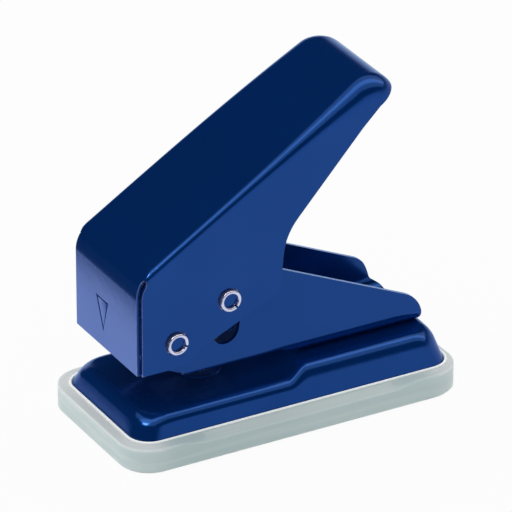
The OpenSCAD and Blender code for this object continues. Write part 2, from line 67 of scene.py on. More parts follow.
LEVER_HALF_W, LEVER_SHEET, LEVER_FRONT, LEVER_BOTTOM = 18.8, 1.0, -47.0, 26.7
LEVER_SLOPE, LEVER_TOP, LEVER_BEND_R = 31.7, 84.1, 9.5
NOSE_R, NOSE_X, NOSE_END = 9.0, 26.8, 34.9
HEEL_X, HEEL_RUN, HEEL_RISE = 4.0, 3.0, 3.9
HIP_BACK, HIP_RISE, HIP_R, BACK_RISE, BACK_RUN = 16.0, 11.6, 2.4, 16.6, 1.4
LIP_BACK, LIP_DROP = 4.0, 4.4
FULCRUM_X, FULCRUM_Z, DRIVE_ARM, DRIVE_ANGLE = -35.2, 34.4, 18.8, 29.3
PIN_R, PIN_WALL, PIN_SLIT, PIN_PROUD, PIN_RECESS = 3.2, 1.05, 0.6, 1.2, 1.0
PIN_CLEAR, FULCRUM_SLIT, DRIVE_SLIT = 0.25, 20, 50
RUNNING_GAP, TIGHT_GAP, SPACER_GAP = 0.06, 0.02, 0.15
DIE_SPIGOT_R, RIVET_R = 5.3, 1.6
LEVER_RIM, TRAY_RIM, BRACKET_RIM, SADDLE_RIM = 0.17, 0.35, 0.32, 0.2

DRIVE_X = FULCRUM_X + DRIVE_ARM * math.cos(math.radians(DRIVE_ANGLE))
DRIVE_Z = FULCRUM_Z + DRIVE_ARM * math.sin(math.radians(DRIVE_ANGLE))
REAR_Z = FRONT_Z + PLATFORM_RISE
WALL_Z = REAR_Z + BEND_R

# Lengths of the cuts, how far a cut starts outside, and the slack when points are picked or merged
CUT_L, SHEET_CUT, PAST = 60, 6, 1.0
NEAR, MERGE, SLIVER = 0.1, 0.002, 0.0003

# Steps round circles, corners and rims, and the angle in degrees from which a rim is softened
ROUND_STEPS, CORNER_STEPS = 64, 10
RIM_STEPS, RIM_ANGLE = 3, 50


# Shader nodes

class Wire:
    """An output socket of a material. Arithmetic on it adds Math nodes."""

    def __init__(self, finish, socket):
        self.finish = finish
        self.socket = socket

    def math(self, operation, *operands):
        return self.finish.add("ShaderNodeMath", {"operation": operation}, dict(enumerate(operands)))

    def __add__(self, other):
        return self.math("ADD", self, other)

    __radd__ = __add__

    def __mul__(self, other):
        return self.math("MULTIPLY", self, other)

    __rmul__ = __mul__

    def __gt__(self, other):
        return self.math("GREATER_THAN", self, other)

    def __abs__(self):
        return self.math("ABSOLUTE", self)

    def larger(self, other):
        return self.math("MAXIMUM", self, other)


class Finish:
    """The node tree of a material or of the world, with one method that adds a node."""

    def __init__(self, owner):
        owner.use_nodes = True
        self.owner = owner
        self.tree = owner.node_tree
        self.tree.nodes.clear()

    def add(self, kind, settings=None, sockets=None, out=0):
        node = self.tree.nodes.new(kind)
        for key, value in (settings or {}).items():
            if key == "stops":
                self.set_stops(node.color_ramp, value)
            else:
                setattr(node, key, value)
        for key, value in (sockets or {}).items():
            if isinstance(value, Wire):
                self.tree.links.new(value.socket, node.inputs[key])
            else:
                node.inputs[key].default_value = value
        return Wire(self, node.outputs[out]) if len(node.outputs) else None

    @staticmethod
    def set_stops(ramp, stops):
        while len(ramp.elements) < len(stops):
            ramp.elements.new(1.0)
        for element, (place, colour) in zip(ramp.elements, stops):
            element.position = place
            element.color = colour

    def place(self, kind="Object"):
        return self.add("ShaderNodeTexCoord", out=kind)

    def along(self, axis, kind="Object"):
        return self.add("ShaderNodeSeparateXYZ", None, {"Vector": self.place(kind)}, out=axis)

    def stretch(self, scale):
        return self.add("ShaderNodeMapping", None, {"Vector": self.place(), "Scale": scale})

    def ray(self, kind):
        return self.add("ShaderNodeLightPath", out=f"Is {kind} Ray")

    def noise(self, vector, scale, detail=3.0, roughness=0.5):
        sockets = {"Vector": vector, "Scale": scale, "Detail": detail, "Roughness": roughness}
        return self.add("ShaderNodeTexNoise", None, sockets)

    def ramp(self, factor, stops):
        return self.add("ShaderNodeValToRGB", {"stops": stops}, {"Fac": factor})

    def fade(self, value, start, end):
        """0 at start, 1 at end, smooth between them."""
        sockets = {"Value": value, "From Min": start, "From Max": end}
        return self.add("ShaderNodeMapRange", {"interpolation_type": "SMOOTHSTEP"}, sockets)

    def blend(self, factor, a, b):
        return self.add("ShaderNodeMix", {"data_type": "RGBA"}, {0: factor, 6: a, 7: b}, out=2)

    def bump(self, height, strength, distance):
        sockets = {"Height": height, "Strength": strength, "Distance": distance}
        return self.add("ShaderNodeBump", None, sockets)

    def surface(self, **sockets):
        named = {key.replace("_", " "): value for key, value in sockets.items()}
        shader = self.add("ShaderNodeBsdfPrincipled", None, named)
        self.add("ShaderNodeOutputMaterial", None, {"Surface": shader})
        return self.owner


def enamel(name, wear_and_sheen):
    """Thick gloss blue enamel over pressed steel; the last argument is how much it has thinned, as along
    sheet edges, and how pale those edges are painted, partly worn paint and partly a painted highlight.
    """
    f = Finish(bpy.data.materials.new(name))
    cloud = f.noise(f.place(), 38.0, 2.0)
    peel = f.noise(f.place(), 620.0, 2.0)
    dust = f.noise(f.place(), 1500.0, 1.0) > 0.815
    chips = f.fade(f.noise(f.place(), 900.0, 4.0, 0.7), 0.62 - 0.25 * wear_and_sheen, 0.9 - 0.25 * wear_and_sheen)
    shade = f.ramp(cloud, [(0.3, (0.0008, 0.043, 0.24, 1)), (0.7, (0.0012, 0.047, 0.26, 1))])
    dusty = f.blend(dust * 0.3, shade, (0.35, 0.42, 0.6, 1))
    # Pale edges: chips of worn paint, plus an even paleness over the whole finish that is a painted
    # highlight along the rims.
    colour = f.blend((chips * 0.5 + 0.5) * wear_and_sheen, dusty, (0.5, 0.55, 0.88, 1))
    return f.surface(
        Base_Color=colour,
        Metallic=0.55,
        Roughness=0.14 + peel * 0.08 + wear_and_sheen * 0.1,
        Normal=f.bump(peel, 0.05, 0.0004),
        IOR=1.42,
        Specular_Tint=(0.22, 0.6, 1.0, 1.0),
        Coat_Weight=0.14 + cloud * 0.08,
        Coat_Roughness=0.12,
    )


def frosted_plastic():
    """Frosted grey-green moulded plastic, paler on the corner pads, whose tops are painted lighter still as
    painted light, and with the thin lip painted near white and glowing faintly as a painted highlight.
    """
    f = Finish(bpy.data.materials.new("frosted_plastic"))
    pad_end, lit_top_depth, lip_foot = 6.0, 1.2, 0.1
    cloud = f.noise(f.place(), 24.0, 3.0)
    flow = f.noise(f.stretch((14.0, 60.0, 520.0)), 1.0, 3.0)
    grain = f.noise(f.place(), 2600.0, 2.0)
    height = f.along("Z")
    shade = f.ramp(cloud, [(0.3, (0.56, 0.7, 0.71, 1)), (0.7, (0.64, 0.77, 0.77, 1))])
    streaked = f.blend(f.fade(flow, 0.42, 0.66) * 0.6, shade, (0.74, 0.86, 0.85, 1))
    corner = f.fade(abs(f.along("X")), (TRAY_HALF_L - PAD_L) * MM, (TRAY_HALF_L - pad_end) * MM)
    # Painted light: the tops of the corner pads are painted lighter than their sides.
    pad_top_light = f.fade(height, (TRAY_H - lit_top_depth) * MM, TRAY_H * MM)
    pad_tone_and_light = f.blend(corner * (0.2 + pad_top_light * 0.55), streaked, (0.93, 0.97, 0.97, 1))
    # Painted highlight: the thin lip is painted near white and given a faint glow.
    lip_glow = f.fade(height, (TRAY_H + lip_foot) * MM, (TRAY_H + LIP_H) * MM)
    colour = f.blend(lip_glow, pad_tone_and_light, (0.97, 0.98, 0.98, 1))
    return f.surface(
        Base_Color=colour,
        Roughness=0.36 + grain * 0.14,
        Normal=f.bump(grain, 0.08, 0.0002),
        Emission_Color=f.blend(lip_glow, (0, 0, 0, 1), (0.85, 0.97, 1, 1)),
        Emission_Strength=0.3,
        IOR=1.45,
        Subsurface_Weight=0.6,
        Subsurface_Radius=(0.0018, 0.002, 0.002),
        Subsurface_Scale=1.0,
    )


def steel(name, light, dark, roughness, along, metallic=1.0):
    """Drawn or ground steel with fine lines along one way."""
    f = Finish(bpy.data.materials.new(name))
    lines = f.noise(f.stretch(along), 1.0, 4.0, 0.6)
    stain = f.noise(f.place(), 210.0, 3.0)
    return f.surface(
        Base_Color=f.blend(stain * 0.7, light, dark),
        Metallic=metallic,
        Roughness=roughness - 0.05 + lines * 0.12,
        Normal=f.bump(lines, 0.12, 0.0002),
    )


# The second finish is for rims: worn paint with an even painted highlight over it.
BLUE = [enamel("blue_enamel", 0.0), enamel("worn_enamel_and_sheen", 0.75)]
PLASTIC = [frosted_plastic()]
ZINC = [steel("zinc_steel", (0.72, 0.74, 0.92, 1), (0.42, 0.46, 0.68, 1), 0.2,
              (2400.0, 90.0, 2400.0), 0.9)]
GROUND = [steel("ground_steel", (0.4, 0.41, 0.46, 1), (0.26, 0.27, 0.31, 1), 0.24,
                (2200.0, 2200.0, 90.0))]
BLUED = [steel("blued_steel", (0.03, 0.085, 0.28, 1), (0.02, 0.055, 0.19, 1), 0.3,
               (300.0, 1400.0, 1400.0), 0.4)]


# Outlines and meshes

def metres(x, y, z):
    return Vector((x, y, z)) * MM


def heading(angle):
    return Vector((math.cos(math.radians(angle)), math.sin(math.radians(angle))))


def smooth_step(t):
    t = min(max(t, 0.0), 1.0)
    return t * t * (3 - 2 * t)


def corner_arc(before, corner, after, steps):
    """The points of a rounded corner; corner holds x, z and a radius."""
    here = Vector(corner[:2])
    to_a = (Vector(before[:2]) - here).normalized()
    to_c = (Vector(after[:2]) - here).normalized()
    half = to_a.angle(to_c) / 2
    middle = here + (to_a + to_c).normalized() * corner[2] / math.sin(half)
    start = here + to_a * corner[2] / math.tan(half) - middle
    end = here + to_c * corner[2] / math.tan(half) - middle
    sweep = start.angle_signed(end)
    return [middle + Matrix.Rotation(-sweep * i / steps, 2) @ start for i in range(steps + 1)]


def soft_outline(corners, steps=CORNER_STEPS):
    """A closed outline through corners that each hold x, z and a radius."""
    points = []
    for i, corner in enumerate(corners):
        if corner[2] > 0:
            points += corner_arc(corners[i - 1], corner, corners[(i + 1) % len(corners)], steps)
        else:
            points.append(Vector(corner[:2]))
    return points


def everything(bm):
    return bm.verts[:] + bm.edges[:] + bm.faces[:]


def clean(bm):
    bmesh.ops.remove_doubles(bm, verts=bm.verts, dist=MERGE * MM)
    bmesh.ops.recalc_face_normals(bm, faces=bm.faces)


def close_ends(bm):
    bmesh.ops.holes_fill(bm, edges=[e for e in bm.edges if e.is_boundary], sides=0)


def push_face(bm, face, move):
    """Draws a face out by a move in millimetres, and opens it where it stood."""
    moved = bmesh.ops.extrude_face_region(bm, geom=[face])["geom"]
    far = [f for f in moved if isinstance(f, bmesh.types.BMFace)][0]
    bmesh.ops.translate(bm, verts=far.verts[:], vec=move * MM)
    bmesh.ops.delete(bm, geom=[face], context="FACES_ONLY")
    return far


def side_solid(points, half_w):
    """A prism along Y through a side outline."""
    bm = bmesh.new()
    face = bm.faces.new([bm.verts.new(metres(p.x, -half_w, p.y)) for p in points])
    push_face(bm, face, ACROSS * 2 * half_w)
    close_ends(bm)
    bmesh.ops.recalc_face_normals(bm, faces=bm.faces)
    return bm


def standing(centre, axis):
    """The placing of a round piece that is made upright at the origin."""
    return Matrix.Translation(metres(*centre)) @ UP.rotation_difference(axis).to_matrix().to_4x4()


def cylinder(radius, length, centre, axis):
    bm = bmesh.new()
    bmesh.ops.create_cone(bm, cap_ends=True, segments=ROUND_STEPS, radius1=radius * MM, radius2=radius * MM,
                          depth=length * MM, matrix=standing(centre, axis))
    return bm


def scratch_object(name, bm, materials=()):
    mesh = bpy.data.meshes.new(name)
    bm.to_mesh(mesh)
    bm.free()
    for material in materials:
        mesh.materials.append(material)
    thing = bpy.data.objects.new(name, mesh)
    bpy.context.scene.collection.objects.link(thing)
    return thing


def shaped(name, bm, materials, sheet=0.0, rim=0.0, knives=(), edge=0):
    """The mesh of bm, given a sheet's thickness and soft rims, and cut by the knives.

    The sheet's cut edge has the material numbered edge, and its rims have the last one.
    """
    thing = scratch_object(name, bm, materials)
    tools = [scratch_object("knife", knife) for knife in knives]
    if sheet:
        wall = thing.modifiers.new("wall", "SOLIDIFY")
        wall.thickness = sheet * MM
        wall.offset = -1.0
        wall.use_even_offset = True
        wall.use_quality_normals = True
        wall.material_offset_rim = edge
    if rim:
        soft = thing.modifiers.new("rim", "BEVEL")
        soft.width = rim * MM
        soft.segments = RIM_STEPS
        soft.limit_method = "ANGLE"
        soft.angle_limit = math.radians(RIM_ANGLE)
        soft.material = len(materials) - 1
    for tool in tools:
        cut = thing.modifiers.new("cut", "BOOLEAN")
        cut.operation = "DIFFERENCE"
        cut.solver = "MANIFOLD"
        cut.object = tool
    bpy.context.view_layer.update()
    graph = bpy.context.evaluated_depsgraph_get()
    mesh = bpy.data.meshes.new_from_object(thing.evaluated_get(graph))
    for scrap in [thing, *tools]:
        old = scrap.data
        bpy.data.objects.remove(scrap)
        bpy.data.meshes.remove(old)
    tidy_faces(mesh)
    return mesh


def tidy_faces(mesh):
    """Joins slivers left by the cuts and splits the many-sided faces."""
    bm = bmesh.new()
    bm.from_mesh(mesh)
    bmesh.ops.remove_doubles(bm, verts=bm.verts, dist=SLIVER * MM)
    bmesh.ops.dissolve_degenerate(bm, dist=SLIVER * MM, edges=bm.edges)
    bmesh.ops.triangulate(bm, faces=[f for f in bm.faces if len(f.verts) > 4])
    bm.to_mesh(mesh)
    bm.free()


def piece(name, mesh, body, slot, *nodes, sharp=32):
    """Puts a finished mesh in the scene, in place of the CAD nodes that it stands for."""
    mesh.shade_smooth()
    mesh.set_sharp_from_angle(angle=math.radians(sharp))
    thing = bpy.data.objects.new(name, mesh)
    bpy.context.scene.collection.objects.link(thing)
    even = thing.modifiers.new("even_normals", "WEIGHTED_NORMAL")
    even.keep_sharp = True
    even.weight = 80
    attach(thing, body)
    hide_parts(*nodes)
    return thing


# Lever

def under_top(x, radius):
    """The height of a point that lies a radius below the lever's top plane."""
    slope = math.radians(LEVER_SLOPE)
    return LEVER_TOP + x * math.tan(slope) - radius / math.cos(slope)


LEVER_BEND = Vector((LEVER_FRONT + LEVER_BEND_R, under_top(LEVER_FRONT + LEVER_BEND_R, LEVER_BEND_R)))
NOSE = Vector((NOSE_X, under_top(NOSE_X, NOSE_R)))
FRONT_EDGE_R, TOP_EDGE_R, NOSE_START_R, NOSE_EDGE_R = 1.15, 1.9, 5.4, 6.2
TOP_ANGLE, SLIT_ANGLE, SLIT_ROUND_ROWS = 90 + LEVER_SLOPE, 138, 3
BEND_STEPS, TOP_STEPS, NOSE_STEPS, EDGE_STEPS = 18, 20, 20, 8
FLAT_LEG, FLARE_SPEED = 0.9, 1.6
ARROW = [(6.0, 41.9), (-1.6, 41.9), (1.75, 31.2)]
GROOVE_W, GROOVE_D = 0.45, 0.16
# Rims in front of this keep the pale edge enamel, worn paint with a painted highlight
PALE_RIM_END = -43.5


def lever_stations():
    """Places along the bent sheet from the front's foot to the nose: point, outward way and edge radius."""
    stations = [(Vector((LEVER_FRONT, LEVER_BOTTOM)), Vector((-1, 0)), FRONT_EDGE_R)]
    for i in range(BEND_STEPS + 1):
        t = i / BEND_STEPS
        angle = 180 + (TOP_ANGLE - 180) * t
        radius = FRONT_EDGE_R + (TOP_EDGE_R - FRONT_EDGE_R) * t * t
        stations.append((LEVER_BEND + heading(angle) * LEVER_BEND_R, heading(angle), radius))
    start = stations[-1][0]
    top = NOSE + heading(TOP_ANGLE) * NOSE_R - start
    for i in range(1, TOP_STEPS):
        t = i / TOP_STEPS
        radius = TOP_EDGE_R + (NOSE_START_R - TOP_EDGE_R) * t ** 3
        stations.append((start + top * t, heading(TOP_ANGLE), radius))
    for i in range(NOSE_STEPS + 1):
        t = i / NOSE_STEPS
        angle = TOP_ANGLE + (NOSE_END - TOP_ANGLE) * t
        radius = NOSE_START_R + (NOSE_EDGE_R - NOSE_START_R) * smooth_step(FLARE_SPEED * t)
        stations.append((NOSE + heading(angle) * NOSE_R, heading(angle), radius))
    return stations


def lever_lower_edge():
    """Side outline of the panels below the bent sheet, from the nose round to the front's foot."""
    hip = Vector((DRIVE_X + HIP_BACK, LEVER_BOTTOM + HEEL_RISE + HIP_RISE))
    heel = FULCRUM_X + HEEL_X
    nose_cut = NOSE + heading(NOSE_END) * (NOSE_R - NOSE_EDGE_R - FLAT_LEG)
    corners = [
        (nose_cut.x, nose_cut.y, 0),
        (NOSE.x - LIP_BACK, NOSE.y - LIP_DROP, 2 * NOSE_R),
        (hip.x + BACK_RUN, hip.y + BACK_RISE, 2 * NOSE_R),
        (hip.x, hip.y, HIP_R),
        (heel + HEEL_RUN, LEVER_BOTTOM + HEEL_RISE, HEEL_RISE),
        (heel, LEVER_BOTTOM, HEEL_RUN / 2),
        (LEVER_FRONT + FRONT_EDGE_R + FLAT_LEG, LEVER_BOTTOM, 0),
    ]
    return soft_outline(corners)[1:-1]


def lever_mesh():
    """The front, top and nose as one bent grid with round edges, and a flat panel on each side."""
    stations = lever_stations()
    rows = len(stations) - 1
    columns = 2 * EDGE_STEPS + 3
    bm = bmesh.new()
    bmesh.ops.create_grid(bm, x_segments=rows, y_segments=columns, size=1.0)
    grid = {}
    for v in bm.verts:
        grid[round((v.co.x + 1) / 2 * rows), round((v.co.y + 1) / 2 * columns)] = v
    for (i, j), v in grid.items():
        point, out, radius = stations[i]
        side = -1 if j <= EDGE_STEPS + 1 else 1
        k = min(j, columns - j)
        turn = math.radians(90 * (1 - max(k - 1, 0) / EDGE_STEPS))
        depth = radius * (1 - math.cos(turn)) + (FLAT_LEG if k == 0 else 0)
        where = point - out * depth
        v.co = metres(where.x, side * (LEVER_HALF_W - radius * (1 - math.sin(turn))), where.y)
    panels = [[grid[i, j] for i in range(rows + 1)] for j in (0, columns)]
    lower = lever_lower_edge()
    for side, chain in zip((-1, 1), panels):
        rest = [bm.verts.new(metres(p.x, side * LEVER_HALF_W, p.y)) for p in lower]
        bm.faces.new(chain + rest)
    open_slits(bm, grid, stations, columns)
    stamp_arrow(bm, grid)
    clean(bm)
    return bm


def open_slits(bm, grid, stations, columns):
    """Opens the front corners up to the slits' upper ends."""
    last = max(i for i, s in enumerate(stations) if s[1].x < heading(SLIT_ANGLE).x)
    doomed = []
    for i in range(last):
        spare = max(SLIT_ROUND_ROWS - (last - i), 0)
        near = range(1 + spare, EDGE_STEPS + 1 - spare)
        for j in [*near, *(columns - 1 - j for j in near)]:
            ring = {grid[i, j], grid[i + 1, j], grid[i, j + 1], grid[i + 1, j + 1]}
            doomed += [f for f in grid[i, j].link_faces if set(f.verts) == ring]
    bmesh.ops.delete(bm, geom=doomed, context="FACES")


def stamp_arrow(bm, grid):
    """Sinks a three-cornered groove into the front face."""
    middle = EDGE_STEPS + 1
    border = [grid[0, middle], grid[1, middle], grid[1, middle + 1], grid[0, middle + 1]]
    old = [f for f in border[0].link_faces if set(f.verts) == set(border)]
    bmesh.ops.delete(bm, geom=old, context="FACES_ONLY")
    arrow = bm.faces.new([bm.verts.new(metres(LEVER_FRONT, y, z)) for y, z in ARROW])
    arrow.normal_update()
    if arrow.normal.x > 0:
        arrow.normal_flip()
    edges = list(arrow.edges)
    for i, v in enumerate(border):
        after = border[(i + 1) % len(border)]
        edges.append(bm.edges.get((v, after)) or bm.edges.new((v, after)))
    bmesh.ops.triangle_fill(bm, edges=edges, use_beauty=True, normal=-ALONG)
    for depth in (-GROOVE_D, GROOVE_D):
        bmesh.ops.inset_individual(bm, faces=[arrow], thickness=GROOVE_W * MM, depth=depth * MM,
                                   use_even_offset=True)


def make_lever():
    """The bent shell. Only the rims at the front, round the slits, keep the pale edge enamel: worn paint
    with a painted highlight.
    """
    holes = [cylinder(PIN_R + PIN_CLEAR, CUT_L, (x, 0, z), ACROSS)
             for x, z in ((FULCRUM_X, FULCRUM_Z), (DRIVE_X, DRIVE_Z))]
    mesh = shaped("lever_body", lever_mesh(), BLUE, LEVER_SHEET, LEVER_RIM, holes)
    for face in mesh.polygons:
        if face.center.x > PALE_RIM_END * MM:
            face.material_index = 0
    piece("lever_body", mesh, "lever", "blue_paint", "lever_shell")


# Base pan

STEP_CUTS, DRAPE_CUTS, TOP_CUTS, CUT_GAP = 16, 8, 12, 1.5
SHOULDER_STEPS = 10
REAR_LEAN_X, REAR_LEAN_RUN = 30, 18
BOW_X, BOW_RUN = 36, 11


def rounded_rectangle(half_l, half_w, radius, centre_x, z):
    """A face with round corners, from a square whose corners are bevelled."""
    bm = bmesh.new()
    bmesh.ops.create_grid(bm, x_segments=1, y_segments=1, size=1.0)
    for v in bm.verts:
        v.co = metres(centre_x + v.co.x * half_l, v.co.y * half_w, z)
    bmesh.ops.bevel(bm, geom=bm.verts[:], offset=radius * MM, affect="VERTICES", segments=CORNER_STEPS,
                    profile=0.5, material=-1)
    return bm


def fit_loop(verts, old, new):
    """Moves a round-cornered loop from one size to another.

    A size holds half the length, half the width, the corners' radius and the middle along X.
    """
    for v in verts:
        x, y = v.co.x / MM - old[3], v.co.y / MM
        bend = Vector((x - math.copysign(old[0] - old[2], x), y - math.copysign(old[1] - old[2], y)))
        v.co.x = (new[3] + math.copysign(new[0] - new[2], x) + bend.x * new[2] / old[2]) * MM
        v.co.y = (math.copysign(new[1] - new[2], y) + bend.y * new[2] / old[2]) * MM


def pan_mesh():
    """An upright skirt, leaning sides and a round shoulder, sliced where the top is shaped."""
    lean = SIDE_LEAN * (FRONT_Z - SKIRT_Z)
    skirt_size = (PAN_HALF_L, PAN_HALF_W, PAN_R, PAN_BACK)
    crown_size = (PAN_HALF_L - lean, PAN_HALF_W - lean, PAN_TOP_R, PAN_BACK)
    bm = rounded_rectangle(*skirt_size, TRAY_FLOOR)
    foot = bm.faces[:][0]
    skirt = push_face(bm, foot, UP * (SKIRT_Z - TRAY_FLOOR))
    crown = push_face(bm, skirt, UP * (FRONT_Z - SKIRT_Z))
    fit_loop(crown.verts, skirt_size, crown_size)
    bm.normal_update()
    tangent = SHOULDER_R * math.tan((math.pi / 2 - math.atan(SIDE_LEAN)) / 2)
    bmesh.ops.bevel(bm, geom=list(crown.edges), offset=tangent * MM, offset_type="OFFSET", affect="EDGES",
                    segments=SHOULDER_STEPS, profile=0.5, material=-1)
    cuts = [(STEP_X + STEP_RUN * i / STEP_CUTS, ALONG) for i in range(STEP_CUTS + 1)]
    cuts += [(side * (DRAPE_X + i * CUT_GAP) + PAN_BACK, ALONG)
             for i in range(DRAPE_CUTS) for side in (-1, 1)]
    cuts += [(i * CUT_GAP, ACROSS) for i in range(-TOP_CUTS, TOP_CUTS + 1)]
    for place, way in cuts:
        bmesh.ops.bisect_plane(bm, geom=everything(bm), plane_co=way * place * MM, plane_no=way)
    for v in bm.verts:
        shape_pan_point(v)
    bmesh.ops.recalc_face_normals(bm, faces=bm.faces)
    return bm


def shape_pan_point(v):
    """Lifts the rear platform, leans and bows its end, and lets the corners of the top drop."""
    x, y, z = v.co / MM
    high = min(max((z - SKIRT_Z) / (FRONT_Z - SKIRT_Z), 0), 1)
    step = smooth_step((x - STEP_X) / STEP_RUN)
    gain = SIDE_LEAN * PLATFORM_RISE * step * high
    y *= 1 - gain / PAN_HALF_W
    x -= gain * smooth_step((x - REAR_LEAN_X) / REAR_LEAN_RUN)
    x += REAR_BOW * high * (1 - (y / PAN_HALF_W) ** 2) * smooth_step((x - BOW_X) / BOW_RUN)
    to_end = (abs(x - PAN_BACK) - DRAPE_X) / DRAPE_RUN
    to_side = (abs(y) - DRAPE_Y) / DRAPE_RUN
    z -= DRAPE * high * smooth_step(to_end) * smooth_step(to_side)
    v.co = metres(x, y, z + PLATFORM_RISE * step * high)


def make_pan():
    """The pan, with a crease where its sides meet the skirt."""
    hole = cylinder(DIE_SPIGOT_R, SHEET_CUT, (DRIVE_X, 0, FRONT_Z), UP)
    mesh = shaped("base_body", pan_mesh(), BLUE, PAN_SHEET, 0.0, [hole])
    piece("base_body", mesh, "frame", "blue_paint", "base_pan", sharp=15)


# Chip tray

def tray_mesh():
    """One face drawn up the outside, over the lip, down the mouth and under the ledge to the floor."""
    foot = (TRAY_HALF_L - TRAY_FOOT, TRAY_HALF_W - TRAY_FOOT, TRAY_R - TRAY_FOOT, 0)
    outside = (TRAY_HALF_L, TRAY_HALF_W, TRAY_R, 0)
    inside = (TRAY_HALF_L - TRAY_WALL, TRAY_HALF_W - TRAY_WALL, TRAY_R - TRAY_WALL, 0)
    mouth = (PAN_HALF_L + PAN_GAP, PAN_HALF_W + PAN_GAP, PAN_R + PAN_GAP, PAN_BACK)
    lip = (mouth[0] + LIP_T, mouth[1] + LIP_T, mouth[2] + LIP_T, PAN_BACK)
    lip_z, ledge_z = TRAY_H + LIP_H, TRAY_H - LEDGE_T
    size, z = foot, 0
    bm = rounded_rectangle(*size, z)
    face = bm.faces[:][0]
    for next_size, next_z in ((outside, TRAY_FOOT), (outside, TRAY_H), (lip, TRAY_H), (lip, lip_z),
                              (mouth, lip_z), (mouth, ledge_z), (inside, ledge_z), (inside, TRAY_FLOOR)):
        face = push_face(bm, face, UP * (next_z - z))
        fit_loop(face.verts, size, next_size)
        size, z = next_size, next_z
    close_ends(bm)
    clean(bm)
    return bm


def rim_knife(side):
    """The wedge that bevels one long rim between the corner pads, shallow at its ends."""
    run, wide = TRAY_HALF_L - PAD_L, 2 * RIM_BEVEL
    section = [(PAST, 2 * PAST), (-wide, 2 * PAST), (-wide, 0), (0, -RIM_BEVEL), (PAST, -RIM_BEVEL)]
    corners = [metres(-run, side * (TRAY_HALF_W + y), TRAY_H + z) for y, z in section]
    bm = bmesh.new()
    face = bm.faces.new([bm.verts.new(corner) for corner in corners])
    for length in (RIM_TAPER, 2 * (run - RIM_TAPER), RIM_TAPER):
        face = push_face(bm, face, ALONG * length)
    close_ends(bm)
    for v in bm.verts:
        if abs(v.co.x) > (run - NEAR) * MM:
            v.co.z += (RIM_BEVEL - RIM_START) * MM
    bmesh.ops.recalc_face_normals(bm, faces=bm.faces)
    return bm


def make_tray():
    mesh = shaped("tray_body", tray_mesh(), PLASTIC, 0.0, TRAY_RIM, [rim_knife(1), rim_knife(-1)])
    piece("tray_body", mesh, "tray", "tray_plastic", "chip_tray", sharp=40)


# Bracket

REAR_ZONE, SLOT_STEPS, WALL_BEND_STEPS = 1.0, 16, 12


def tail_height(x):
    return DRIVE_Z + TAIL_RISE - x * math.tan(math.radians(TAIL_FALL))


def bracket_end(z):
    """Where the bracket's rounded rear end stands at a height."""
    middle_z = tail_height(BRACKET_REAR) - TAIL_R / math.tan(math.radians(90 + TAIL_FALL) / 2)
    rise = max(z - middle_z, 0)
    return BRACKET_REAR - TAIL_R + math.sqrt(TAIL_R ** 2 - rise ** 2)


def wall_outline():
    """Side outline of one wall, down to the line where it bends into the floor."""
    front = FULCRUM_X - CHEEK_REACH
    crown_x = DRIVE_X + SLOT_W
    points = soft_outline([
        (FULCRUM_X + HEEL_X, WALL_Z, CHEEK_LOWER_R),
        (front, FULCRUM_Z - CHEEK_HALF, CHEEK_LOWER_R),
        (front, FULCRUM_Z + CHEEK_HALF, CHEEK_UPPER_R),
        (DRIVE_X - SLOT_W / 2, DRIVE_Z + SLOT_W / 2 + CROWN_H, CROWN_R),
        (crown_x, tail_height(crown_x), CROWN_R),
        (BRACKET_REAR, tail_height(BRACKET_REAR), TAIL_R),
        (BRACKET_REAR, REAR_Z, 0),
        (BRACKET_REAR, WALL_Z, 0),
    ])
    above = [p for p in points if p.y > WALL_Z + NEAR or p.x < 0]
    return above + [Vector((bracket_end(WALL_Z), WALL_Z))]


def slot_outline():
    """The arc-shaped slot for the drive pin, about the fulcrum."""
    fulcrum = Vector((FULCRUM_X, FULCRUM_Z))
    low, high, half = -SLOT_END, DRIVE_ANGLE + SLOT_SPARE, SLOT_W / 2
    upper = fulcrum + heading(high) * DRIVE_ARM
    lower = fulcrum + heading(low) * DRIVE_ARM
    arcs = [
        (fulcrum, DRIVE_ARM + half, low, high),
        (upper, half, high, high + 180),
        (fulcrum, DRIVE_ARM - half, high, low),
        (lower, half, low + 180, low + 360),
    ]
    return [middle + heading(start + (end - start) * i / SLOT_STEPS) * radius
            for middle, radius, start, end in arcs for i in range(SLOT_STEPS)]


def bracket_mesh():
    """One wall, bent in along its lower edge and cut clear of the paper in front, then mirrored."""
    bm = bmesh.new()
    wall = bm.faces.new([bm.verts.new(metres(p.x, BRACKET_HALF_W, p.y)) for p in wall_outline()])
    low = [v for v in wall.verts if abs(v.co.z - WALL_Z * MM) < MERGE * MM]
    hems = [e for e in wall.edges if e.verts[0] in low and e.verts[1] in low]
    centre = metres(0, BRACKET_HALF_W - BEND_R, WALL_Z)
    turned_in = bmesh.ops.spin(bm, geom=hems + low, cent=centre, axis=ALONG, angle=-math.pi / 2,
                               steps=WALL_BEND_STEPS, use_duplicate=False)["geom_last"]
    floor = [e for e in turned_in if isinstance(e, bmesh.types.BMEdge)]
    spread = bmesh.ops.extrude_edge_only(bm, edges=floor)["geom"]
    for v in spread:
        if isinstance(v, bmesh.types.BMVert):
            v.co.y = 0
    for v in bm.verts:
        if v.co.x > (BRACKET_REAR - REAR_ZONE) * MM and v.co.z < (WALL_Z + NEAR) * MM:
            v.co.x = bracket_end(v.co.z / MM) * MM
    clear_paper(bm)
    bmesh.ops.mirror(bm, geom=everything(bm), axis="Y", merge_dist=MERGE * MM)
    clean(bm)
    trim_far_corner(bm)
    return bm


